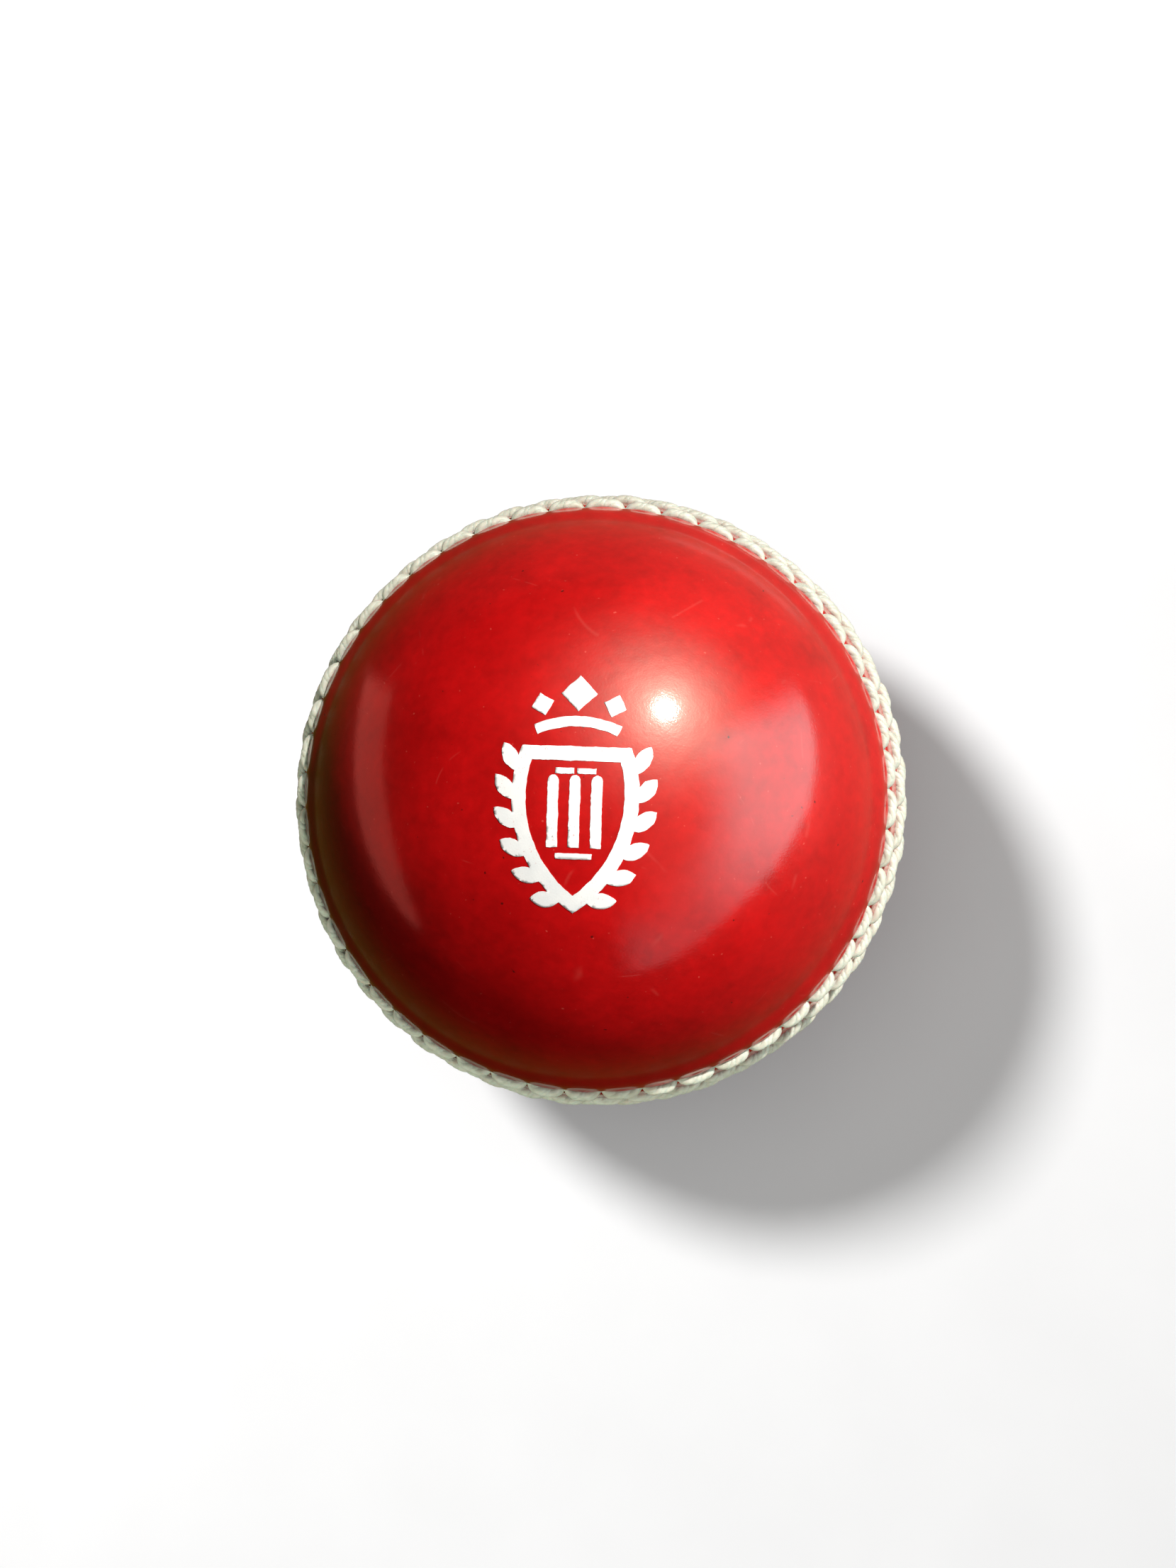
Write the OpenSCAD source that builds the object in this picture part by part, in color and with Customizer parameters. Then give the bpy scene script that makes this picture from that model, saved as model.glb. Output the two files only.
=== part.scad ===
// Cricket ball: wound cork-and-yarn quilt, two-piece leather cover, six rows of seam stitching.
// Millimetres. The origin is the ball's centre, the seam lies in the XY plane and +Z
// points through the middle of the half that carries the printed mark.

/* [Cover] */
// Radius of the leather cover away from the seam
cover_r = 34.7; // [33.5:0.1:35.5]
// Thickness of the leather
leather = 3.5; // [3:0.1:4]
// How far the cover rises at the seam
seam_rise = 0.45; // [0.2:0.05:0.7]
// Height of the raised seam's edge above the join
seam_z = 12; // [11.6:0.1:12.4]
// Latitude at which the seam's slope runs out into the cover
slope_end = 25.5; // [24:0.5:28]
// Gap between the two cover halves
join_gap = 0.1; // [0.05:0.05:0.2]
// Radius of the groove along the join
join_groove_r = 0.5; // [0.3:0.05:0.7]

/* [Stitching] */
// Stitches in one row
stitches = 48; // [40:1:60]
// Height of the rows above the join, from the innermost to the outermost
row_z = [1.7, 5.9, 10.3]; // [1:0.1:11]
// Radius of the thread where it crosses the surface
thread_r = 0.62; // [0.5:0.02:0.7]
// How far a stitch stands above the cover
stitch_h = 1; // [0.8:0.05:1.2]
// Share of the pitch that a stitch covers
stitch_share = 0.92; // [0.8:0.01:0.93]
// Radius of the hole that the thread goes down
hole_r = 0.45; // [0.35:0.05:0.55]
// Radius of the thread pulled tight in its hole
leg_r = 0.42; // [0.32:0.02:0.5]

/* [Seam lining] */
// Thickness of the strip that is sewn inside each half
lining_t = 0.7; // [0.5:0.1:0.9]
// Height of the strip's far edge above the join
lining_z = 12.6; // [12:0.1:13.4]

/* [Quilt] */
// Radius of the cork and rubber core
core_r = 11.5; // [10:0.5:13]
// Layers of cork, each under a winding of yarn
layers = 5; // [5:1:5]
// Share of each pair of layers that is cork
cork_share = 0.55; // [0.4:0.05:0.7]
// Gap between two cork slices of one layer
slice_gap = 0.5; // [0.3:0.1:1]
// Working clearance between neighbouring layers
layer_gap = 0.05; // [0.02:0.01:0.1]

/* [Printed mark] */
// Thickness of the printed film
print_t = 0.06; // [0.04:0.01:0.1]
// Width of the shield
shield_w = 13.4; // [12:0.1:14]
// Height of the shield's flat top above the mark's middle
shield_top = 5.2; // [4.6:0.1:5.8]
// Depth of the shield's point below the mark's middle
shield_tip = 12.3; // [11:0.1:13]
// Width of the shield's line
line_w = 1.5; // [1:0.1:1.8]
// Leaves on each side of the shield
leaves = 6; // [4:1:7]
// Length of a leaf
leaf_l = 3.3; // [2.6:0.1:3.8]
// Height of the three stumps
stump_h = 7; // [6:0.1:7.4]
// Width of one stump
stump_w = 1.15; // [0.8:0.05:1.3]
// Distance between neighbouring stumps
stump_pitch = 2.3; // [2:0.1:2.4]

/* [Hidden] */
$fn = 96;
fine = 256;

seam_r = cover_r + seam_rise;
seam_edge = [sqrt(seam_r * seam_r - seam_z * seam_z), seam_z];
cover_in_r = cover_r - leather;
lining_out_r = cover_in_r + layer_gap + lining_t;
reach = cover_r + 5;

pair_t = (cover_in_r - layer_gap - core_r) / layers;
pitch_angle = 360 / stitches;
pitch = 2 * PI * seam_r / stitches;

// A stitch is an arc of thread: this is the radius of the arc's outer side, and its centre's depth.
stitch_half = stitch_share * pitch / 2;
stitch_out_r = (stitch_half * stitch_half + stitch_h * stitch_h) / (2 * stitch_h);
stitch_depth = stitch_out_r - stitch_h;
stitch_dip = 20;
stitch_sweep = 2 * (acos(stitch_depth / stitch_out_r) + stitch_dip);
leg_l = seam_r - cover_in_r - 2 * layer_gap;
leg_lap = 0.2;
hole_over = 1;
layer_turn = 27;

// Each side of the shield is an arc about a point across the mark's middle.
side_r = (shield_tip * shield_tip + shield_w * shield_w / 4) / shield_w;
side_x = side_r - shield_w / 2;
leaf_from = -50;
leaf_to = 10;
leaf_lean = 38;
leaf_bow = 0.62;
leaf_lap = 0.3;
wicket_y = -5.4;
bail_h = 0.6;
bail_share = 0.86;
crease_w = 3.8;
crest_r = 11.4;
crest_y = -3;
crest_t = 1.1;
crest_half = 24;
gem_turn = 17;
gem_w = 2.7;
small_gem = 0.65;
gem_gap = 0.5;

// How far row k is turned, so that the middle row's stitches face its neighbours' holes
function row_turn(k) = k == 1 ? pitch_angle / 2 : 0;
function row_lat(k) = asin(row_z[k] / seam_r);
function cork_in_r(n) = core_r + (n - 1) * pair_t + layer_gap;
function yarn_in_r(n) = cork_in_r(n) + cork_share * pair_t;
function yarn_out_r(n) = core_r + n * pair_t;

module shell(out_r, in_r) {
    difference() {
        sphere(out_r);
        sphere(in_r);
    }
}

// Moves its children to the cover's surface on row k, with X outwards and Y along the row
module on_row(k, azimuth) {
    rotate([0, -row_lat(k), azimuth])
        translate([seam_r, 0, 0])
            children();
}

module core() {
    color([0.42, 0.27, 0.15]) sphere(core_r);
}

// Four slices of cork that meet over the poles, turned from layer to layer
module cork_layer(n) {
    color([0.76, 0.57, 0.36])
        rotate([0, n % 2 == 0 ? 90 : 0, n * layer_turn])
            difference() {
                shell(yarn_in_r(n) - layer_gap, cork_in_r(n));
                cube([slice_gap, 2 * reach, 2 * reach], center = true);
                cube([2 * reach, slice_gap, 2 * reach], center = true);
            }
}

module yarn_winding(n) {
    color([0.86, 0.82, 0.72]) shell(yarn_out_r(n), yarn_in_r(n));
}

// The cover's outline: the sphere, the raised seam and the slope between them
module cover_outline() {
    circle(cover_r);
    intersection() {
        circle(seam_r);
        translate([0, -seam_z]) square([reach, 2 * seam_z]);
    }
    polygon([[0, 0], seam_edge, cover_r * [cos(slope_end), sin(slope_end)]]);
}

module cover_section() {
    intersection() {
        difference() {
            cover_outline();
            circle(cover_in_r);
            intersection() {
                circle(lining_out_r + layer_gap);
                translate([0, -lining_z]) square([reach, 2 * lining_z]);
            }
            translate([seam_r, 0]) circle(join_groove_r);
        }
        translate([0, join_gap / 2]) square(reach);
    }
}

module stitch_holes() {
    for (k = [0 : len(row_z) - 1], i = [0 : stitches - 1])
        on_row(k, row_turn(k) + (i + 0.5) * pitch_angle)
            translate([-leg_l - hole_over, 0, 0])
                rotate([0, 90, 0])
                    cylinder(h = leg_l + 2 * hole_over, r = hole_r);
}

module half_cover() {
    color([0.6, 0.03, 0.05]) difference() {
        rotate_extrude() cover_section();
        stitch_holes();
    }
}

module half_lining() {
    color([0.78, 0.66, 0.5]) difference() {
        rotate_extrude() intersection() {
            difference() {
                circle(lining_out_r);
                circle(cover_in_r);
            }
            translate([0, join_gap / 2]) square([reach, lining_z - join_gap]);
        }
        stitch_holes();
    }
}

module stitch() {
    translate([-stitch_depth, 0, 0])
        rotate([0, 0, -stitch_sweep / 2])
            rotate_extrude(angle = stitch_sweep)
                translate([stitch_out_r - thread_r, 0]) circle(thread_r);
}

module stitch_row(k) {
    color([0.93, 0.91, 0.84]) {
        difference() {
            for (i = [0 : stitches - 1])
                on_row(k, row_turn(k) + i * pitch_angle) stitch();
            sphere(seam_r, $fn = fine);
        }
        for (i = [0 : stitches - 1])
            on_row(k, row_turn(k) + (i + 0.5) * pitch_angle)
                translate([-leg_l, 0, 0])
                    rotate([0, 90, 0])
                        cylinder(h = leg_l + leg_lap, r = leg_r);
    }
}

// A pointed leaf along +Y, the overlap of two circles
module leaf(l) {
    bow = leaf_bow * l;
    off = sqrt(bow * bow - l * l / 4);
    intersection() {
        translate([off, l / 2]) circle(bow);
        translate([-off, l / 2]) circle(bow);
    }
}

// A shield whose outline lies inside the full one by inset
module shield(inset) {
    intersection() {
        translate([-side_x, 0]) circle(side_r - inset);
        translate([side_x, 0]) circle(side_r - inset);
        translate([-shield_w, shield_top - inset - 2 * shield_w]) square(2 * shield_w);
    }
}

// Leaves that lean out from the shield's right side
module spray() {
    for (n = [0 : leaves - 1])
        translate([-side_x, 0])
            rotate(leaf_from + n * (leaf_to - leaf_from) / (leaves - 1))
                translate([side_r - leaf_lap, 0])
                    rotate(-leaf_lean)
                        leaf(leaf_l);
}

module stump() {
    translate([-stump_w / 2, 0]) square([stump_w, stump_h]);
    translate([0, stump_h]) circle(stump_w / 2);
}

module bar(w, h) {
    translate([-w / 2, 0]) square([w, h]);
}

// Three stumps and two bails over the crease
module wicket() {
    for (n = [-1 : 1]) translate([n * stump_pitch, 0]) stump();
    for (side = [-1, 1])
        translate([side * stump_pitch / 2, stump_h + stump_w / 2 + bail_h / 4])
            bar(bail_share * stump_pitch, bail_h);
    translate([0, -2 * bail_h]) bar(crease_w, bail_h);
}

module gem(w) {
    translate([0, crest_r + gem_gap + w / sqrt(2)]) rotate(45) square(w, center = true);
}

// A band that arches over the shield and carries three lozenges
module crest() {
    translate([0, crest_y]) {
        intersection() {
            difference() {
                circle(crest_r);
                circle(crest_r - crest_t);
            }
            polygon([[0, 0], for (a = [-crest_half, 0, crest_half]) 2 * crest_r * [sin(a), cos(a)]]);
        }
        gem(gem_w);
        for (side = [-1, 1]) rotate(side * gem_turn) gem(small_gem * gem_w);
    }
}

module mark_outline() {
    difference() {
        shield(0);
        shield(line_w);
    }
    spray();
    mirror([1, 0]) spray();
    translate([0, wicket_y]) wicket();
    crest();
}

module printed_mark() {
    color([0.96, 0.95, 0.93]) intersection() {
        linear_extrude(reach) mark_outline();
        difference() {
            sphere(cover_r + print_t, $fn = fine);
            sphere(cover_r, $fn = fine);
        }
    }
}

core();
cork_layer(1);  // cork_layer_1
yarn_winding(1);  // yarn_winding_1
cork_layer(2);  // cork_layer_2
yarn_winding(2);  // yarn_winding_2
cork_layer(3);  // cork_layer_3
yarn_winding(3);  // yarn_winding_3
cork_layer(4);  // cork_layer_4
yarn_winding(4);  // yarn_winding_4
cork_layer(5);  // cork_layer_5
yarn_winding(5);  // yarn_winding_5
half_lining();  // seam_lining_top
mirror([0, 0, 1]) half_lining();  // seam_lining_bottom
half_cover();  // cover_top
mirror([0, 0, 1]) half_cover();  // cover_bottom
stitch_row(0);  // stitch_row_top_inner
stitch_row(1);  // stitch_row_top_middle
stitch_row(2);  // stitch_row_top_outer
mirror([0, 0, 1]) stitch_row(0);  // stitch_row_bottom_inner
mirror([0, 0, 1]) stitch_row(1);  // stitch_row_bottom_middle
mirror([0, 0, 1]) stitch_row(2);  // stitch_row_bottom_outer
printed_mark();
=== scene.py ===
import math

import bmesh
import bpy
import numpy as np
from mathutils import Matrix, Vector


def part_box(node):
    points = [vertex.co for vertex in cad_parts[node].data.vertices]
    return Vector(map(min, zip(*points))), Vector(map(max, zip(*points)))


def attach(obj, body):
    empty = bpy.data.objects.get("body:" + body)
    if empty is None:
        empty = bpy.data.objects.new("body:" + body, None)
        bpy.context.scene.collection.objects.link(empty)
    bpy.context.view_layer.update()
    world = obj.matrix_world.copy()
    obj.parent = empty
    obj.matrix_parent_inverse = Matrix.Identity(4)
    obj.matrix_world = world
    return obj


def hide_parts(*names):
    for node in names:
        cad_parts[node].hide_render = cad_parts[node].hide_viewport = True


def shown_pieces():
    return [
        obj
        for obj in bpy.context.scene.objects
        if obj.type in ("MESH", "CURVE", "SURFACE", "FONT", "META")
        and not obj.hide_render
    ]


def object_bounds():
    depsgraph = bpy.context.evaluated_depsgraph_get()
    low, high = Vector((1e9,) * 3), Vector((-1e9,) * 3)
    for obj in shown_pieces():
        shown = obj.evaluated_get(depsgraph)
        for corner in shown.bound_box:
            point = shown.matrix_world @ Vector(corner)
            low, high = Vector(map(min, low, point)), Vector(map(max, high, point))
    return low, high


# Looks of the cricket ball, in metres. The ball's centre is the origin, the seam lies in the
# XY plane and +Z passes through the printed mark.
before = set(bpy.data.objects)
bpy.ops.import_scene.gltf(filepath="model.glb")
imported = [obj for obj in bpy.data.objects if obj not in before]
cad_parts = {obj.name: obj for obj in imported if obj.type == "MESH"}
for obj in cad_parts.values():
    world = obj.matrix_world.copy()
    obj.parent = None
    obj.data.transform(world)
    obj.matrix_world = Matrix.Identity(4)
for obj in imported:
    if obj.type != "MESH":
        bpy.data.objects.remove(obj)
cad_low, cad_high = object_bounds()

MM = 0.001
TAU = 2 * math.pi

# ---------------------------------------------------------------- sizes from the frame
COVER_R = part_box("cover_top")[1].z
SEAM_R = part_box("cover_top")[1].x
CROWN_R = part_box("stitch_row_top_inner")[1].x
LINING_IN_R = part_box("yarn_winding_5")[1].x
LINING_OUT_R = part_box("seam_lining_top")[1].x
LINING_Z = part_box("seam_lining_top")[1].z
PRINT_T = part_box("printed_mark")[1].z - COVER_R

# ---------------------------------------------------------------- the seam
STITCHES = 48
ROW_Z = (1.7 * MM, 5.9 * MM, 10.3 * MM)
ROW_NAMES = ("inner", "middle", "outer")
SEAM_EDGE_Z = 12 * MM
SLOPE_END = math.radians(25.5)
JOIN_GAP = 0.05 * MM
PITCH = TAU / STITCHES
THREAD_R = 0.62 * MM
PLIES = 3
PLY_R = 0.5 * MM
PLY_OFFSET = 0.14 * MM
PLY_TURNS = 1.15
THREAD_DIVE = 1.1 * MM
HOLE_DEPTH = 0.55 * MM
HOLE_LENGTH = 0.5 * MM
HOLE_WIDTH = 0.45 * MM
CREASE_DEPTH = 0.12 * MM
CREASE_WIDTH = 0.5 * MM
# How far the leather swells beside a stitch: away from the join, row by row, and toward it.
PUCKER_OUT = (0.02 * MM, 0.03 * MM, 0.13 * MM)
PUCKER_IN = 0.03 * MM
PUCKER_AWAY = 0.98 * MM
PUCKER_WIDTH = 0.34 * MM
PUCKER_LENGTH = 1.35 * MM

# ---------------------------------------------------------------- the stitches
# How uneven the sewing is: holes along the row as a share of the pitch and across it in millimetres,
# and the height of the loosest stitch as a share of the tallest one's.
HOLE_SLIP = 0.035
HOLE_STRAY = 0.06
LOOSEST = 0.86
# Each stitch starts and ends a little inside its holes and leans across the row, in millimetres.
HOLE_INSET = 0.12 * MM
LEAN = 0.1
LEAN_SPREAD = 0.04
# EASING crowds its points toward its middle, where it stays high before it dives and thins at its ends.
EASING = 0.115
CROWN_CLEAR = 0.02 * MM
DIVE_POWER = 9
PINCH = 0.3
PINCH_POWER = 5
STITCH_STEPS = 25
PLY_SIDES = 10

# ---------------------------------------------------------------- the leather's mesh
# The latitudes where the rings grow closer, their steps there, and the join's cut edge from outside in
# as point count and radius.
FINE_FROM = math.radians(22.5)
MIDDLE_FROM = math.radians(45)
FINE_STEP = 0.2 * MM
MIDDLE_STEP = 0.42 * MM
GROOVE = 0.7 * MM
CUT_EDGE = ((960, 34.2 * MM), (480, 33.8 * MM), (240, 33 * MM))
LINING_CLEAR = 0.05 * MM
QUILT_CLEAR = 0.04 * MM

# One seed for each half's sewing.
SEEDS = {"top": 11, "bottom": 29}


def row_turn(k):
    """How far row k is turned, so that the middle row's stitches face its neighbours' holes."""
    return PITCH / 2 if k == 1 else 0.0


def sewing(half):
    """Where the needle went in, row by row: each hole's azimuth and latitude, and each stitch's tension,
    a little uneven as sewn work is."""
    rng = np.random.RandomState(SEEDS[half])
    holes = []
    for k, z in enumerate(ROW_Z):
        even = row_turn(k) + (np.arange(STITCHES) + 0.5) * PITCH
        azimuth = even + rng.normal(0, HOLE_SLIP, STITCHES) * PITCH
        latitude = math.asin(z / SEAM_R) + rng.normal(0, HOLE_STRAY, STITCHES) * MM / SEAM_R
        tension = rng.uniform(LOOSEST, 1.0, STITCHES)
        holes.append((azimuth, latitude, tension))
    return holes


HOLES = {half: sewing(half) for half in SEEDS}


def wave_noise(points, size, seed):
    """Smooth noise from -1 to 1 at each point, from a few seeded plane waves of about the given size."""
    rng = np.random.RandomState(seed)
    total = np.zeros(len(points))
    for _ in range(14):
        way = rng.normal(size=3)
        way *= TAU / size / np.linalg.norm(way) * rng.uniform(0.6, 1.4)
        total += np.sin(points @ way + rng.uniform(0, TAU))
    return total / 5


def smoothstep(x):
    x = np.clip(x, 0, 1)
    return x * x * (3 - 2 * x)


def hump(distance, width):
    return np.exp(-((distance / width) ** 2))


def cover_radius(half, latitude, azimuth):
    """The cover's outer surface: the sphere, the raised seam, and the leather's dips and puckers round
    the stitches."""
    slope_start = math.asin(SEAM_EDGE_Z / SEAM_R)
    rise = 1 - smoothstep((latitude - slope_start) / (SLOPE_END - slope_start))
    radius = COVER_R + (SEAM_R - COVER_R) * rise
    for k in range(len(ROW_Z)):
        hole_az, hole_lat, _ = HOLES[half][k]
        phase = (azimuth - row_turn(k)) / PITCH
        near = np.round(phase - 0.5).astype(int)
        turns = np.floor_divide(near, STITCHES)
        near_az = hole_az[near % STITCHES] + turns * TAU
        along = (azimuth - near_az) * SEAM_R
        across = (latitude - hole_lat[near % STITCHES]) * SEAM_R
        radius = radius - HOLE_DEPTH * hump(along, HOLE_LENGTH) * hump(across, HOLE_WIDTH)
        middle = np.round(phase).astype(int)
        span = (phase - middle) * PITCH * SEAM_R
        mid_lat = (hole_lat[(middle - 1) % STITCHES] + hole_lat[middle % STITCHES]) / 2
        over = (latitude - mid_lat) * SEAM_R
        radius = radius - CREASE_DEPTH * hump(over, CREASE_WIDTH)
        for side, height in ((1, PUCKER_OUT[k]), (-1, PUCKER_IN)):
            beside = hump(over - side * PUCKER_AWAY, PUCKER_WIDTH)
            radius = radius + height * beside * hump(span, PUCKER_LENGTH)
    return radius


def mesh_object(name, points, faces):
    mesh = bpy.data.meshes.new(name)
    mesh.from_pydata(points, [], faces)
    mesh.update()
    mesh.shade_smooth()
    piece = bpy.data.objects.new(name, mesh)
    bpy.context.scene.collection.objects.link(piece)
    return piece


class Lathe:
    """Rings of points round the Z axis, joined one to the next. A ring may have half or twice as many
    points as the one before. marks holds the number of faces made by each join."""

    def __init__(self):
        self.points, self.faces, self.rings, self.marks = [], [], [], []

    def pole(self, z):
        self.points.append((0.0, 0.0, z))
        self._join([len(self.points) - 1])

    def ring(self, count, place):
        """place(azimuths) gives each point's distance from the axis and its height."""
        azimuth = np.arange(count) * TAU / count
        r, z = place(azimuth)
        first = len(self.points)
        xyz = np.stack([r * np.cos(azimuth), r * np.sin(azimuth), z + 0 * azimuth], 1)
        self.points.extend(map(tuple, xyz))
        self._join(list(range(first, first + count)))

    def _join(self, new):
        if self.rings:
            self._bridge(self.rings[-1], new)
        self.rings.append(new)

    def _bridge(self, a, b):
        n, m = len(a), len(b)
        if m == 1:
            self.faces += [(a[i], a[(i + 1) % n], b[0]) for i in range(n)]
        elif n == 1:
            self.faces += [(b[(i + 1) % m], b[i], a[0]) for i in range(m)]
        elif n == m:
            self.faces += [(a[i], a[(i + 1) % n], b[(i + 1) % n], b[i]) for i in range(n)]
        elif n == 2 * m:
            for j in range(m):
                i0, i1, i2 = a[2 * j], a[2 * j + 1], a[(2 * j + 2) % n]
                j0, j1 = b[j], b[(j + 1) % m]
                self.faces += [(i0, i1, j0), (i1, j1, j0), (i1, i2, j1)]
        elif m == 2 * n:
            for j in range(n):
                i0, i1, i2 = b[2 * j], b[2 * j + 1], b[(2 * j + 2) % m]
                j0, j1 = a[j], a[(j + 1) % n]
                self.faces += [(i1, i0, j0), (j1, i1, j0), (i2, i1, j1)]
        self.marks.append(len(self.faces))


def half_cover(half):
    """One leather half: its outer face with every pucker, its cut edge at the join and its inner face."""
    lathe = Lathe()
    lathe.pole(COVER_R)
    latitudes = list(np.radians(np.arange(88.5, 45, -1.5)))
    latitudes += list(np.arange(MIDDLE_FROM, FINE_FROM, -MIDDLE_STEP / SEAM_R))
    edge_lat = math.asin((GROOVE + JOIN_GAP) / SEAM_R)
    latitudes += list(np.arange(FINE_FROM, edge_lat, -FINE_STEP / SEAM_R))
    for latitude in latitudes:
        if latitude > math.radians(82):
            count = 60
        elif latitude > math.radians(70):
            count = 120
        elif latitude > MIDDLE_FROM:
            count = 240
        elif latitude > FINE_FROM:
            count = 480
        else:
            count = 960

        def outer(azimuth, latitude=latitude):
            radius = cover_radius(half, np.full_like(azimuth, latitude), azimuth)
            return radius * math.cos(latitude), radius * math.sin(latitude)

        lathe.ring(count, outer)
    for step in (0.25, 0.5, 0.75, 1.0):
        turn = step * math.pi / 2
        z = JOIN_GAP + GROOVE * (1 - math.sin(turn))
        depth = GROOVE * (1 - math.cos(turn))

        def lip(azimuth, z=z, depth=depth):
            radius = cover_radius(half, np.full_like(azimuth, math.asin(z / SEAM_R)), azimuth)
            return radius - depth, np.full_like(azimuth, z)

        lathe.ring(960, lip)
    dyed_faces = lathe.marks[-1]
    lining_r = LINING_OUT_R + LINING_CLEAR
    for count, r in (*CUT_EDGE, (240, lining_r)):
        lathe.ring(count, lambda azimuth, r=r: (np.full_like(azimuth, r), JOIN_GAP))
    for z in (2 * MM, 4 * MM, 6 * MM, 8 * MM, 10 * MM, LINING_Z + LINING_CLEAR):
        r = math.sqrt(lining_r**2 - z**2)
        lathe.ring(240, lambda azimuth, r=r, z=z: (np.full_like(azimuth, r), z))
    inner_r = LINING_IN_R + QUILT_CLEAR
    start = math.asin(z / inner_r)
    for latitude in np.linspace(start, math.radians(87), 40):
        count = 240 if latitude < MIDDLE_FROM else 120 if latitude < math.radians(70) else 60
        lathe.ring(
            count,
            lambda azimuth, lat=latitude: (
                np.full_like(azimuth, inner_r * math.cos(lat)), inner_r * math.sin(lat)),
        )
    lathe.pole(inner_r)
    points = np.array(lathe.points)
    if half == "bottom":
        points[:, 2] *= -1
    piece = mesh_object(f"cover_{half}_leather", points.tolist(), lathe.faces)
    materials = np.zeros(len(lathe.faces), int)
    materials[dyed_faces:] = 1
    piece.data.polygons.foreach_set("material_index", materials)
    recalc(piece)
    piece.data.materials.append(LEATHER)
    piece.data.materials.append(RAW_LEATHER)
    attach(piece, "root")
    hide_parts(f"cover_{half}")


def recalc(piece):
    """Turns every face outward and keeps the edges of more than 50 degrees sharp."""
    bm = bmesh.new()
    bm.from_mesh(piece.data)
    bmesh.ops.recalc_face_normals(bm, faces=bm.faces)
    bm.to_mesh(piece.data)
    bm.free()
    piece.data.set_sharp_from_angle(angle=math.radians(50))


def tube(path, across, radii, sides):
    """Points and faces of a closed round tube along path. across is a direction roughly square to it at
    each point."""
    n = len(path)
    tangent = np.gradient(path, axis=0)
    tangent /= np.linalg.norm(tangent, axis=1)[:, None]
    u = across - (across * tangent).sum(1)[:, None] * tangent
    u /= np.linalg.norm(u, axis=1)[:, None]
    v = np.cross(tangent, u)
    angle = np.arange(sides) * TAU / sides
    ring = np.cos(angle)[None, :, None] * u[:, None, :] + np.sin(angle)[None, :, None] * v[:, None, :]
    points = (path[:, None, :] + ring * radii[:, None, None]).reshape(-1, 3)
    faces = []
    for i in range(n - 1):
        a, b = i * sides, (i + 1) * sides
        faces += [(a + s, a + (s + 1) % sides, b + (s + 1) % sides, b + s) for s in range(sides)]
    faces.append(tuple(range(sides))[::-1])
    faces.append(tuple(range((n - 1) * sides, n * sides)))
    return points, faces


def stitch_row(half, k):
    """One row of lock stitches: each is a twisted three-ply loop between two needle holes."""
    hole_az, hole_lat, tension = HOLES[half][k]
    rng = np.random.RandomState(100 * SEEDS[half] + k)
    t = np.linspace(0, 1, STITCH_STEPS)
    from_middle = np.abs(2 * t - 1)
    points, faces, count = [], [], 0
    for i in range(STITCHES):
        start, end = (i - 1) % STITCHES, i
        az0 = hole_az[start] - (TAU if i == 0 else 0)
        az1 = hole_az[end]
        inset = HOLE_INSET / SEAM_R
        azimuth = az0 + inset + (az1 - az0 - 2 * inset) * (t + EASING * np.sin(TAU * t))
        lean = rng.normal(LEAN, LEAN_SPREAD) * MM / SEAM_R
        latitude = hole_lat[start] + (hole_lat[end] - hole_lat[start]) * t + lean * np.cos(math.pi * t)
        crown = (CROWN_R - SEAM_R) * tension[i] - THREAD_R - CROWN_CLEAR
        height = crown - (crown + THREAD_DIVE) * from_middle**DIVE_POWER
        out = np.stack([np.cos(latitude) * np.cos(azimuth), np.cos(latitude) * np.sin(azimuth),
                        np.sin(latitude)], 1)
        line = out * (SEAM_R + height)[:, None]
        forward = np.gradient(line, axis=0)
        forward /= np.linalg.norm(forward, axis=1)[:, None]
        side = np.cross(forward, out)
        side /= np.linalg.norm(side, axis=1)[:, None]
        up = np.cross(side, forward)
        squeeze = 1 - PINCH * from_middle**PINCH_POWER
        phase = rng.uniform(0, TAU)
        for ply in range(PLIES):
            turn = phase + TAU * ply / PLIES + TAU * PLY_TURNS * t
            offset = PLY_OFFSET * squeeze
            path = line + (np.cos(turn) * offset)[:, None] * side + (np.sin(turn) * offset)[:, None] * up
            new_points, new_faces = tube(path, up, PLY_R * squeeze, PLY_SIDES)
            points.append(new_points)
            faces += [tuple(count + p for p in face) for face in new_faces]
            count += len(new_points)
    points = np.concatenate(points)
    if half == "bottom":
        points[:, 2] *= -1
        faces = [face[::-1] for face in faces]
    node = f"stitch_row_{half}_{ROW_NAMES[k]}"
    piece = mesh_object(f"{node}_thread", points.tolist(), faces)
    recalc(piece)
    piece.data.materials.append(THREAD)
    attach(piece, "root")
    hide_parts(node)


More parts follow.
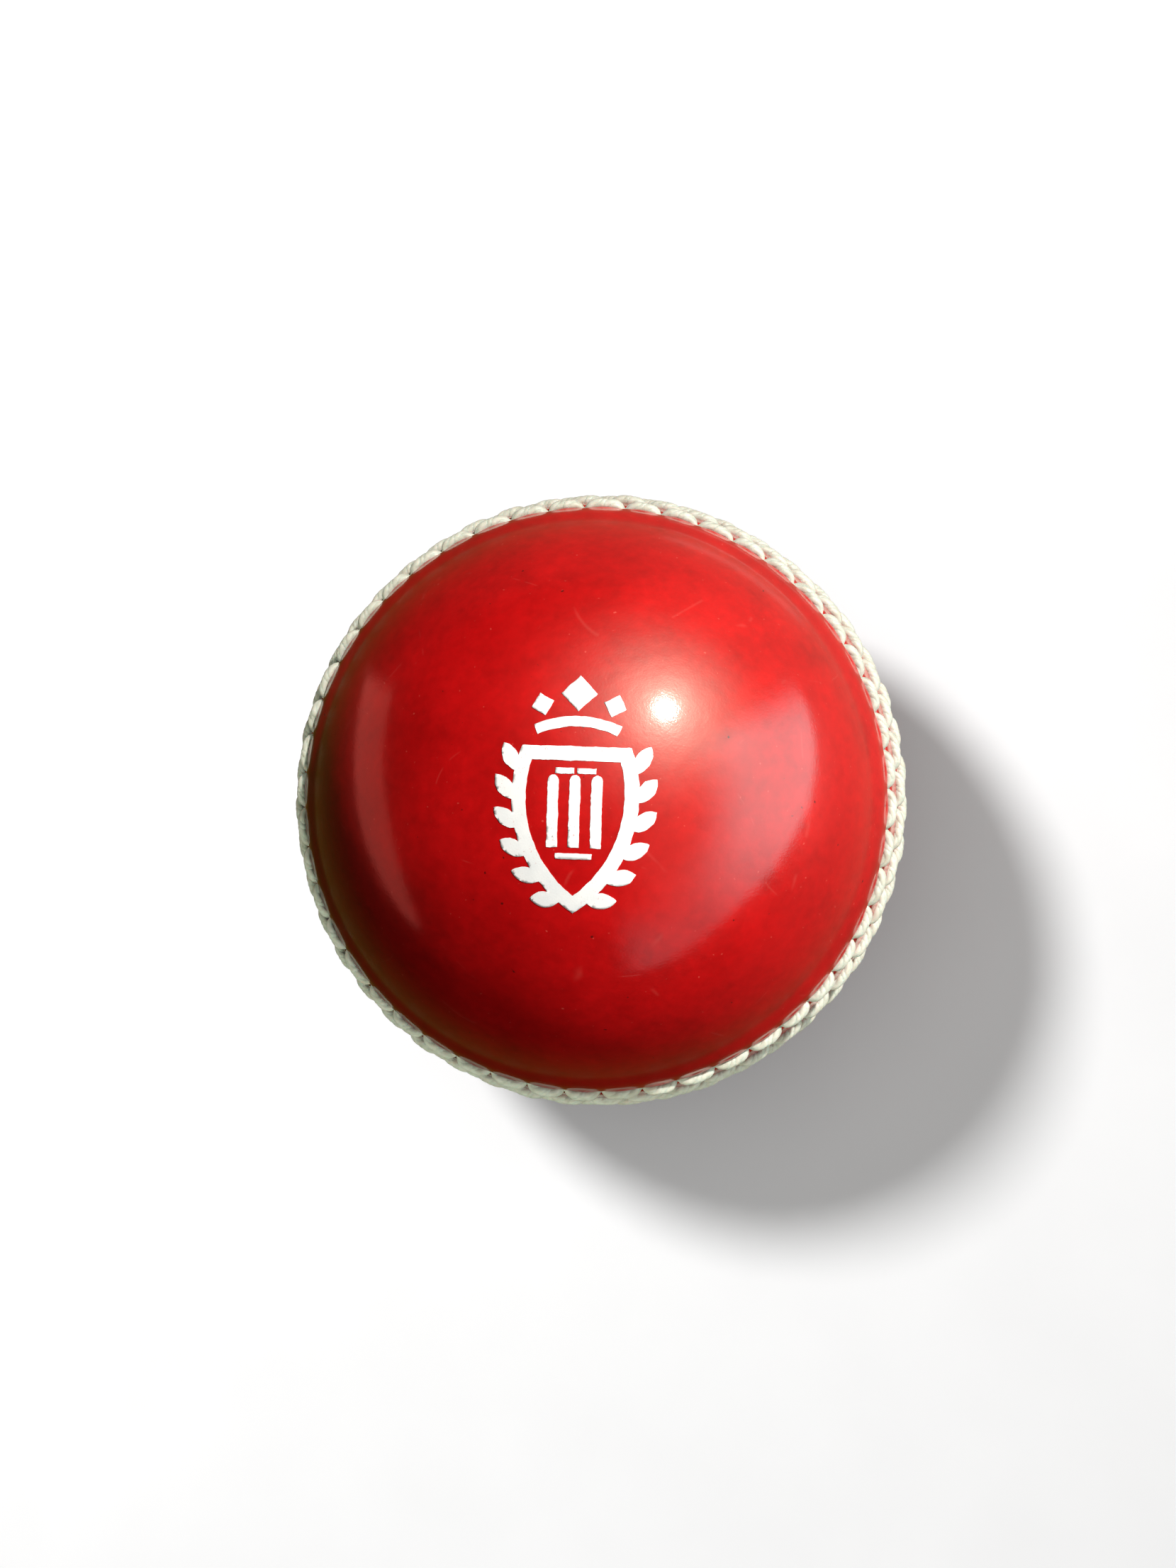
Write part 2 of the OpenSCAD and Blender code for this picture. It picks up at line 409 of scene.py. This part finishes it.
def worn_print():
    """The printed mark, from the CAD outline: cut fine, laid into the leather's curve, its edges a little
    ragged."""
    longest_edge = 0.4 * MM
    sunk = 0.03 * MM
    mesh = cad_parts["printed_mark"].data.copy()
    bm = bmesh.new()
    bm.from_mesh(mesh)
    bmesh.ops.remove_doubles(bm, verts=bm.verts, dist=0.0005 * MM)
    film = bm.verts.layers.float.new("film")
    for vert in bm.verts:
        vert[film] = 1.0 if vert.co.length > COVER_R + PRINT_T / 2 else 0.0
    for _ in range(7):
        long_edges = [edge for edge in bm.edges if edge.calc_length() > longest_edge]
        if not long_edges:
            break
        bmesh.ops.subdivide_edges(bm, edges=long_edges, cuts=1, use_grid_fill=False)
        bmesh.ops.triangulate(bm, faces=[face for face in bm.faces if len(face.verts) > 3])
    points = np.array([vert.co[:] for vert in bm.verts])
    height = np.array([vert[film] for vert in bm.verts])
    rag = []
    for size, reach, seeds in ((0.9 * MM, 0.035 * MM, (3, 4)), (0.35 * MM, 0.02 * MM, (5, 6))):
        rag.append(np.stack([wave_noise(points, size, seed) for seed in seeds], 1) * reach)
    points[:, :2] += sum(rag)
    radius = COVER_R - sunk + (PRINT_T + sunk) * height
    points *= (radius / np.linalg.norm(points, axis=1))[:, None]
    for vert, point in zip(bm.verts, points):
        vert.co = point
    bm.to_mesh(mesh)
    bm.free()
    piece = bpy.data.objects.new("printed_mark_film", mesh)
    bpy.context.scene.collection.objects.link(piece)
    mesh.materials.clear()
    mesh.materials.append(PRINT)
    mesh.shade_smooth()
    mesh.set_sharp_from_angle(angle=math.radians(40))
    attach(piece, "root")
    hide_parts("printed_mark")


def yarn_ball(n):
    """One winding: bundles of strands wound side by side round the ball, each bundle across the ones
    before, over a woollen base."""
    node = f"yarn_winding_{n}"
    out_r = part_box(node)[1].x
    in_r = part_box(f"cork_layer_{n}")[1].x
    rng = np.random.RandomState(700 + n)
    strand_r, pitch, sway = 0.42 * MM, 1.1 * MM, 0.2 * MM
    bundles, turns, steps = 12, 9, 56
    points, faces, count = [], [], 0
    lowest = in_r + strand_r + 0.05 * MM
    highest = out_r - strand_r - 0.02 * MM
    for bundle in range(bundles):
        z = rng.normal(size=3)
        z /= np.linalg.norm(z)
        x = np.cross(z, rng.normal(size=3))
        x /= np.linalg.norm(x)
        y = np.cross(z, x)
        t = np.linspace(0, turns * TAU, turns * steps + 1)
        drift = (t / TAU - turns / 2) * pitch / out_r
        wobble = sway / out_r * np.sin(t * 0.37 + bundle)
        level = lowest + (highest - lowest) * bundle / (bundles - 1)
        dive = np.minimum(1, np.minimum(t, t[-1] - t) / 0.6)
        radius = level - (level - lowest) * (1 - dive)
        lat = drift + wobble
        out = (np.cos(lat) * np.cos(t))[:, None] * x + (np.cos(lat) * np.sin(t))[:, None] * y
        out = out + np.sin(lat)[:, None] * z
        new_points, new_faces = tube(out * radius[:, None], out, np.full(len(t), strand_r), 6)
        points.append(new_points)
        faces += [tuple(count + p for p in face) for face in new_faces]
        count += len(new_points)
    piece = mesh_object(f"{node}_strands", np.concatenate(points).tolist(), faces)
    recalc(piece)
    piece.data.materials.append(YARN)
    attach(piece, "root")
    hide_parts(node)
    base = Lathe()
    outside, inside = out_r - 0.75 * MM, in_r + 0.06 * MM
    for r, start, end in ((outside, -90, 90), (inside, 90, -90)):
        base.pole(r * math.sin(math.radians(start)))
        for lat in np.radians(np.linspace(start, end, 49)[1:-1]):
            base.ring(96, lambda azimuth, r=r, lat=lat: (
                np.full_like(azimuth, r * math.cos(lat)), r * math.sin(lat)))
        base.pole(r * math.sin(math.radians(end)))
        base.rings = []
    under = mesh_object(f"{node}_wool", base.points, base.faces)
    under.data.materials.append(YARN)
    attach(under, "root")
    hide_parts(node)


def dress(node, material):
    """A CAD node whose shape is right keeps it, under a better material."""
    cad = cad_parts[node]
    cad.data.materials.clear()
    cad.data.materials.append(material)


# ---------------------------------------------------------------- materials
class Shader:
    """A material with one Principled shader, and short calls for the nodes that drive it."""

    def __init__(self, name, **values):
        self.material = bpy.data.materials.new(name)
        self.material.use_nodes = True
        self.tree = self.material.node_tree
        self.surface = self.tree.nodes["Principled BSDF"]
        for socket, value in values.items():
            self.surface.inputs[socket.replace("_", " ")].default_value = value
        self.place = self.tree.nodes.new("ShaderNodeTexCoord").outputs["Object"]

    def node(self, kind, inputs=(), **settings):
        made = self.tree.nodes.new(kind)
        for setting, value in settings.items():
            setattr(made, setting, value)
        for socket, value in dict(inputs).items():
            if isinstance(value, bpy.types.NodeSocket):
                self.tree.links.new(value, made.inputs[socket])
            else:
                made.inputs[socket].default_value = value
        return made

    def noise(self, size, detail=2.0, rough=0.5, place=None, distortion=0.0):
        """Noise from 0 to 1 whose features are about size metres across."""
        return self.node("ShaderNodeTexNoise", {
            "Vector": place or self.place, "Scale": 1 / size, "Detail": detail,
            "Roughness": rough, "Distortion": distortion}).outputs["Fac"]

    def cells(self, size, feature="F1", output="Distance", place=None):
        return self.node("ShaderNodeTexVoronoi", {"Vector": place or self.place, "Scale": 1 / size},
                         feature=feature).outputs[output]

    def shifted(self, x, y, z):
        """The same place, moved so that a second noise doesn't follow the first."""
        return self.node("ShaderNodeMapping", {"Vector": self.place, "Location": (x, y, z)}).outputs[0]

    def lines(self, size, width, seed):
        """Thin wandering lines, 1 on the line: where a smooth noise passes its middle value."""
        value = self.noise(size, 0.0, 0.0, place=self.shifted(seed, 1 - seed, seed / 2))
        away = self.math("ABSOLUTE", self.math("SUBTRACT", value, 0.5))
        return self.ramp(away, (0.0, 1.0), (width * 0.25, 0.0))

    def ramp(self, value, *stops):
        """Colours or greys by value; each stop is (position, colour)."""
        made = self.node("ShaderNodeValToRGB", {"Fac": value})
        band = made.color_ramp
        while len(band.elements) < len(stops):
            band.elements.new(0.5)
        for element, (position, colour) in zip(band.elements, stops):
            element.position = position
            element.color = (*colour, 1) if isinstance(colour, tuple) else (colour, colour, colour, 1)
        return made.outputs["Color"]

    def mix(self, share, a, b, kind="MIX"):
        made = self.node("ShaderNodeMix", {}, data_type="RGBA", blend_type=kind)
        for socket, value in ((0, share), (6, a), (7, b)):
            if isinstance(value, bpy.types.NodeSocket):
                self.tree.links.new(value, made.inputs[socket])
            elif isinstance(value, tuple):
                made.inputs[socket].default_value = (*value, 1)
            else:
                made.inputs[socket].default_value = value
        return made.outputs[2]

    def math(self, operation, a, b=0.0):
        return self.node("ShaderNodeMath", {0: a, 1: b}, operation=operation).outputs[0]

    def bump(self, height, distance, onto=None):
        inputs = {"Height": height, "Distance": distance, "Strength": 1.0}
        if onto is not None:
            inputs["Normal"] = onto
        return self.node("ShaderNodeBump", inputs).outputs["Normal"]

    def drive(self, socket, value):
        self.tree.links.new(value, self.surface.inputs[socket])


def red_leather():
    """Dyed leather under clear polished lacquer, with uneven dye, fine grain, dust specks and hairline
    scratches."""
    s = Shader("red_leather", Roughness=0.38, Specular_IOR_Level=0.5, Specular_Tint=(1.0, 0.55, 0.42, 1),
               Coat_Weight=1.0, Coat_Roughness=0.07, Coat_IOR=1.5)
    dye = s.ramp(s.noise(9 * MM, 3), (0.3, (0.43, 0.0016, 0.0028)), (0.7, (0.55, 0.003, 0.0045)))
    mottle = s.ramp(s.noise(1.3 * MM, 4, 0.6), (0.35, 0.84), (0.7, 1.0))
    colour = s.mix(1.0, dye, mottle, "MULTIPLY")
    specks = s.ramp(s.noise(0.5 * MM, 1), (0.76, 0.0), (0.81, 0.6))
    colour = s.mix(specks, colour, (0.62, 0.08, 0.06))
    pits = s.ramp(s.noise(0.8 * MM, 1, place=s.shifted(0.3, 0.1, 0.7)), (0.18, 0.9), (0.22, 0.0))
    colour = s.mix(pits, colour, (0.08, 0.003, 0.003))
    smudge = s.ramp(s.noise(5 * MM, 5, 0.65, place=s.shifted(0.2, 0.8, 0.5)), (0.3, 0.84), (0.48, 1.0))
    colour = s.mix(1.0, colour, smudge, "MULTIPLY")
    scratch = s.math("MULTIPLY", s.lines(26 * MM, 0.006, 0.9),
                     s.ramp(s.noise(5 * MM, 2), (0.55, 0.0), (0.6, 1.0)))
    scuff = s.math("MULTIPLY", s.lines(17 * MM, 0.007, 0.2),
                   s.ramp(s.noise(4 * MM, 2, place=s.shifted(0.6, 0.4, 0.2)), (0.58, 0.0), (0.63, 1.0)))
    marks = s.math("MAXIMUM", scratch, scuff)
    s.drive("Base Color", s.mix(s.math("MULTIPLY", marks, 0.08), colour, (0.8, 0.2, 0.16)))
    grain = s.noise(0.22 * MM, 2)
    skin = s.noise(2.4 * MM, 3)
    fine = s.bump(grain, 0.005 * MM)
    s.drive("Normal", s.bump(skin, 0.04 * MM, onto=fine))
    cut = s.bump(s.math("SUBTRACT", 1.0, marks), 0.003 * MM, onto=s.bump(grain, 0.0065 * MM))
    s.drive("Coat Normal", s.bump(skin, 0.012 * MM, onto=cut))
    s.drive("Coat Roughness", s.ramp(s.noise(6 * MM, 3), (0.35, 0.085), (0.7, 0.125)))
    return s.material


def raw_leather():
    """The undyed leather of the cut edge and the inner face."""
    s = Shader("raw_leather", Roughness=0.85, Sheen_Weight=0.2)
    fibres = s.noise(0.5 * MM, 4, 0.6)
    colour = s.ramp(fibres, (0.3, (0.33, 0.2, 0.12)), (0.7, (0.55, 0.4, 0.28)))
    s.drive("Base Color", colour)
    s.drive("Normal", s.bump(s.noise(0.3 * MM, 4, 0.7), 0.08 * MM))
    return s.material


def waxed_thread():
    """Off-white linen thread, greyer where it is handled."""
    s = Shader("waxed_thread", Roughness=0.46, Specular_IOR_Level=0.45, Sheen_Weight=0.2,
               Sheen_Roughness=0.5, Subsurface_Weight=0.15, Subsurface_Scale=0.5 * MM)
    shade = s.ramp(s.noise(0.8 * MM, 3), (0.3, (0.44, 0.45, 0.38)), (0.65, (0.57, 0.58, 0.51)))
    grime = s.ramp(s.noise(3.5 * MM, 3, 0.6), (0.52, 0.0), (0.72, 0.5))
    s.drive("Base Color", s.mix(grime, shade, (0.4, 0.36, 0.28)))
    fibre = s.bump(s.noise(0.08 * MM, 3, 0.6), 0.02 * MM)
    s.drive("Normal", s.bump(s.noise(0.3 * MM, 2), 0.03 * MM, onto=fibre))
    return s.material


def white_print():
    """Foil-stamped white film: a cool white that is thin and freckled with red where it has worn."""
    s = Shader("white_print", Roughness=0.5, Coat_Weight=0.5, Coat_Roughness=0.15)
    white = s.ramp(s.noise(2 * MM, 3), (0.3, (0.78, 0.83, 0.84)), (0.7, (0.86, 0.9, 0.9)))
    thin = s.ramp(s.noise(0.28 * MM, 3, 0.7), (0.3, 0.75), (0.37, 0.0))
    worn = s.ramp(s.noise(3.4 * MM, 2), (0.42, 0.15), (0.62, 1.0))
    s.drive("Base Color", s.mix(s.math("MULTIPLY", thin, worn), white, (0.62, 0.12, 0.12)))
    s.drive("Normal", s.bump(s.noise(0.2 * MM, 3, 0.6), 0.012 * MM))
    return s.material


def worsted_yarn():
    """Undyed wool."""
    s = Shader("worsted_yarn", Roughness=0.9, Specular_IOR_Level=0.2, Sheen_Weight=0.5, Sheen_Roughness=0.6)
    shade = s.ramp(s.noise(1.6 * MM, 4, 0.65), (0.3, (0.36, 0.31, 0.22)), (0.7, (0.6, 0.54, 0.41)))
    fluff = s.ramp(s.noise(0.22 * MM, 4, 0.7), (0.35, 0.72), (0.65, 1.0))
    s.drive("Base Color", s.mix(1.0, shade, fluff, "MULTIPLY"))
    twist = s.bump(s.noise(0.35 * MM, 3, 0.6), 0.1 * MM)
    s.drive("Normal", s.bump(s.noise(0.12 * MM, 4, 0.7), 0.05 * MM, onto=twist))
    return s.material


def sliced_cork():
    """Cork: pale granules, dark lenticels between them and a pitted face."""
    s = Shader("sliced_cork", Roughness=0.92, Specular_IOR_Level=0.15)
    grain = s.cells(1.5 * MM, output="Color")
    tone = s.ramp(grain, (0.1, (0.4, 0.22, 0.1)), (0.5, (0.58, 0.36, 0.18)), (0.9, (0.7, 0.47, 0.26)))
    speck = s.ramp(s.noise(0.4 * MM, 4, 0.7), (0.35, 0.6), (0.6, 1.0))
    tone = s.mix(1.0, tone, speck, "MULTIPLY")
    lenticel = s.ramp(s.noise(1.8 * MM, 3, 0.6, distortion=1.2), (0.3, 1.0), (0.36, 0.0))
    s.drive("Base Color", s.mix(lenticel, tone, (0.09, 0.045, 0.02)))
    pits = s.bump(s.math("SUBTRACT", 1.0, lenticel), 0.35 * MM)
    s.drive("Normal", s.bump(s.cells(0.6 * MM), 0.12 * MM, onto=pits))
    return s.material


def cork_and_rubber():
    """Moulded core: cork crumbs bound in dark rubber."""
    s = Shader("cork_and_rubber", Roughness=0.8, Specular_IOR_Level=0.3)
    wander = s.node("ShaderNodeTexNoise", {"Vector": s.place, "Scale": 1 / (1.2 * MM)}).outputs["Color"]
    reach = s.node("ShaderNodeVectorMath", {0: wander, "Scale": 0.9 * MM}, operation="SCALE").outputs[0]
    bent = s.node("ShaderNodeVectorMath", {0: s.place, 1: reach}, operation="ADD").outputs[0]
    crumb = s.cells(1.3 * MM, output="Color", place=bent)
    cork = s.ramp(crumb, (0.15, (0.2, 0.1, 0.045)), (0.5, (0.42, 0.24, 0.11)), (0.85, (0.58, 0.36, 0.18)))
    gap = s.ramp(s.cells(1.3 * MM, feature="DISTANCE_TO_EDGE", place=bent), (0.02, 1.0), (0.07, 0.0))
    s.drive("Base Color", s.mix(gap, cork, (0.025, 0.018, 0.015)))
    lumps = s.bump(s.math("SUBTRACT", 1.0, gap), 0.2 * MM)
    s.drive("Normal", s.bump(s.noise(0.3 * MM, 4, 0.6), 0.1 * MM, onto=lumps))
    return s.material


def lining_leather():
    """Soft pale leather with a brushed nap."""
    s = Shader("lining_leather", Roughness=0.9, Sheen_Weight=0.3)
    nap = s.ramp(s.noise(0.7 * MM, 4, 0.7), (0.3, (0.5, 0.36, 0.22)), (0.7, (0.74, 0.58, 0.4)))
    blotch = s.ramp(s.noise(6 * MM, 2), (0.35, 0.8), (0.65, 1.0))
    s.drive("Base Color", s.mix(1.0, nap, blotch, "MULTIPLY"))
    s.drive("Normal", s.bump(s.noise(0.25 * MM, 4, 0.7), 0.1 * MM))
    return s.material


LEATHER = red_leather()
RAW_LEATHER = raw_leather()
THREAD = waxed_thread()
PRINT = white_print()
YARN = worsted_yarn()

# ---------------------------------------------------------------- the ball
for half in SEEDS:
    half_cover(half)
    for k in range(len(ROW_Z)):
        stitch_row(half, k)
    dress(f"seam_lining_{half}", lining_leather())
worn_print()
CORK = sliced_cork()
for n in range(1, 6):
    dress(f"cork_layer_{n}", CORK)
    yarn_ball(n)
dress("core", cork_and_rubber())


# ---------------------------------------------------------------- stage, light and camera
def group(name, members):
    """A set of objects that a lamp is told to light."""
    made = bpy.data.collections.new(name)
    for member in members:
        made.objects.link(member)
    return made


ball_pieces = list(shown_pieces())
ball_group = group("ball_group", ball_pieces)
thread_group = group("thread_group", [piece for piece in ball_pieces if piece.name.startswith("stitch_row")])

# A floor that curves up into a wall: distance from the ball and height, in metres.
FLOOR_PROFILE = ((0.3, 0), (0.7, 0), (0.9, 0.03), (1.03, 0.12), (1.1, 0.3), (1.1, 1.2))
FLOOR_GLOW = 0.16
floor_s = Shader("pale_floor", Roughness=0.9, Specular_IOR_Level=0.1)
floor_s.drive("Base Color", floor_s.ramp(floor_s.noise(20 * MM, 3), (0.3, 0.84), (0.7, 0.87)))
floor_s.surface.inputs["Emission Color"].default_value = (1, 1, 1, 1)
floor_s.surface.inputs["Emission Strength"].default_value = FLOOR_GLOW
floor_mesh = Lathe()
floor_mesh.pole(cad_low.z)
for r, z in FLOOR_PROFILE:
    floor_mesh.ring(96, lambda azimuth, r=r, z=z: (np.full_like(azimuth, r), cad_low.z + z))
floor = mesh_object("floor", floor_mesh.points, floor_mesh.faces)
floor.data.materials.append(floor_s.material)
floor.visible_glossy = False
floor.visible_diffuse = False
floor_group = group("floor_group", [floor])

WORLD_COLOUR = (1.0, 0.9, 0.75, 1)
WORLD_STRENGTH = 0.028
world = bpy.data.worlds.new("studio")
world.use_nodes = True
world.node_tree.nodes["Background"].inputs["Color"].default_value = WORLD_COLOUR
world.node_tree.nodes["Background"].inputs["Strength"].default_value = WORLD_STRENGTH
bpy.context.scene.world = world
bpy.context.scene.view_settings.view_transform = "Standard"


def direction(azimuth, elevation):
    """The way from the ball toward a place in the room, from its angles in degrees."""
    azimuth, elevation = math.radians(azimuth), math.radians(elevation)
    return Vector((math.cos(elevation) * math.cos(azimuth), math.cos(elevation) * math.sin(azimuth),
                   math.sin(elevation)))


def lamp(name, azimuth, elevation, distance, size, power, colour, lights, reflected=False):
    """A round soft lamp aimed at the ball, which lights only the given group. Distance and size are in
    metres, power in watts."""
    data = bpy.data.lights.new(name, "AREA")
    data.shape = "DISK"
    data.size = size
    data.energy = power
    data.color = colour
    made = bpy.data.objects.new(name, data)
    made.location = direction(azimuth, elevation) * distance
    made.rotation_mode = "QUATERNION"
    made.rotation_quaternion = (-made.location).to_track_quat("-Z", "Y")
    made.visible_camera = False
    made.visible_glossy = reflected
    made.light_linking.receiver_collection = lights
    bpy.context.scene.collection.objects.link(made)


KEY_AZIMUTH, KEY_ELEVATION = 52, 47
lamp("key", KEY_AZIMUTH, KEY_ELEVATION, 0.6, 0.035, 5.5, (1.0, 0.93, 0.87), ball_group, reflected=True)
lamp("window_fill", 2, 14, 0.5, 0.3, 0.65, (1.0, 0.97, 0.93), ball_group)
lamp("front_fill", -35, 50, 0.6, 0.3, 1.4, (1.0, 0.95, 0.9), ball_group)
lamp("rim_left", 195, 35, 0.5, 0.3, 1.15, (0.95, 1.0, 0.84), thread_group)
lamp("rim_front", 270, 20, 0.5, 0.3, 0.85, (0.86, 1.0, 0.76), thread_group)
lamp("floor_key", 137, 57, 0.7, 0.12, 5.0, (1.0, 1.0, 1.0), floor_group)
lamp("floor_top", 0, 89, 0.6, 0.5, 1.0, (1.0, 1.0, 1.0), floor_group)


def rise(x, start, width):
    """0 below start and 1 from start + width on, with a soft step between."""
    return smoothstep((x - start) / width)


def fall(x, start, width):
    return 1 - rise(x, start, width)


def reflected_room():
    """What the lacquer mirrors, on a dome that only reflections see: a soft window to the right that trails
    off low in front, a dim reddish strip to the left, a thin pale line behind, a glow round the key lamp, a
    dark table and a paler side below. Angles are in degrees."""
    radius = 0.4
    azimuth, elevation = np.meshgrid(np.arange(0, 360, 2.0), np.arange(-88, 89, 1.0), indexing="ij")
    a = np.where(azimuth > 180, azimuth - 360, azimuth)
    sill = 20 - 27 * rise(a, -45, 75)
    window = rise(elevation, sill, 4) * fall(elevation, 28, 26)
    window *= rise(a, -82, 14) * fall(a, 22, 14)
    window *= 0.2 + 0.8 * rise(a, -50, 50)
    turn = np.clip((azimuth - 154) / 64, 0, 1)
    strip_foot = -30 + 31 * np.sqrt(turn)
    strip_head = -4 + 13 * np.sin(turn * 0.8 * math.pi)
    strip = rise(elevation, strip_foot, 2.5) * fall(elevation, strip_head, 2.5)
    strip *= rise(azimuth, 153, 3) * fall(azimuth, 214, 5)
    line = hump(elevation + 33, 1.6) * rise(a, 42, 8) * fall(a, 76, 8)
    lat, lon = np.radians(elevation), np.radians(azimuth)
    ways = np.stack([np.cos(lat) * np.cos(lon), np.cos(lat) * np.sin(lon), np.sin(lat)], 2)
    key = np.array(direction(KEY_AZIMUTH, KEY_ELEVATION))
    halo = hump(np.degrees(np.arccos(np.clip(ways @ key, -1, 1))), 23)
    table = fall(elevation, -50, 40)
    bright_side = fall(elevation, -4, 16) * hump(a - 35, 60)
    points = ways * radius
    columns, rows = azimuth.shape
    index = np.arange(columns * rows).reshape(columns, rows)
    across = np.roll(index, -1, axis=0)
    faces = np.stack([index[:, :-1], across[:, :-1], across[:, 1:], index[:, 1:]], 2).reshape(-1, 4)
    dome = mesh_object("reflected_room", points.reshape(-1, 3).tolist(), faces.tolist())
    glow = dome.data.attributes.new("glow", "FLOAT_COLOR", "POINT")
    tints = (
        (window, (1.2, 3.4, 3.5)), (halo, (0.6, 4.2, 3.6)), (strip, (1.2, 0.28, 0.22)),
        (line, (0.5, 0.45, 0.42)), (table, (0.1, 0.055, 0.008)), (bright_side, (0.24, 0.24, 0.2)))
    colour = sum(shape[..., None] * np.array(tint) for shape, tint in tints)
    glow.data.foreach_set("color", np.append(colour, np.ones((*azimuth.shape, 1)), 2).ravel())
    s = Shader("room_glow", Roughness=1.0, Specular_IOR_Level=0.0)
    s.surface.inputs["Base Color"].default_value = (0, 0, 0, 1)
    s.drive("Emission Color", s.node("ShaderNodeAttribute", attribute_name="glow").outputs["Color"])
    s.surface.inputs["Emission Strength"].default_value = 1.0
    dome.data.materials.append(s.material)
    dome.visible_camera = False
    dome.visible_diffuse = False
    dome.visible_transmission = False
    dome.visible_shadow = False


reflected_room()

# The camera looks down on the printed face, a little off the pole, and aims a little beside the centre.
CAMERA_DISTANCE = 280 * MM
CAMERA_TILT = math.radians(4.6)
CAMERA_AZIMUTH = math.radians(-6.5)
CAMERA_ROLL = math.radians(2)
CAMERA_LENS = 54.1
CAMERA_SENSOR = 36
AIM_RIGHT = -1.56 * MM
AIM_UP = 1.9 * MM
camera = bpy.data.objects.new("camera", bpy.data.cameras.new("camera"))
camera.data.lens = CAMERA_LENS
camera.data.sensor_width = CAMERA_SENSOR
camera.data.clip_start = 1 * MM
back = Vector((math.sin(CAMERA_TILT) * math.cos(CAMERA_AZIMUTH),
               math.sin(CAMERA_TILT) * math.sin(CAMERA_AZIMUTH), math.cos(CAMERA_TILT)))
camera.location = back * CAMERA_DISTANCE
upright = Vector((math.sin(-CAMERA_ROLL), math.cos(CAMERA_ROLL), 0))
right = upright.cross(back).normalized()
up = back.cross(right)
shift = right * AIM_RIGHT + up * AIM_UP
sight = (camera.location - shift).normalized()
right = up.cross(sight).normalized()
up = sight.cross(right)
camera.rotation_mode = "QUATERNION"
camera.rotation_quaternion = Matrix((right, up, sight)).transposed().to_quaternion()
bpy.context.scene.collection.objects.link(camera)
bpy.context.scene.camera = camera
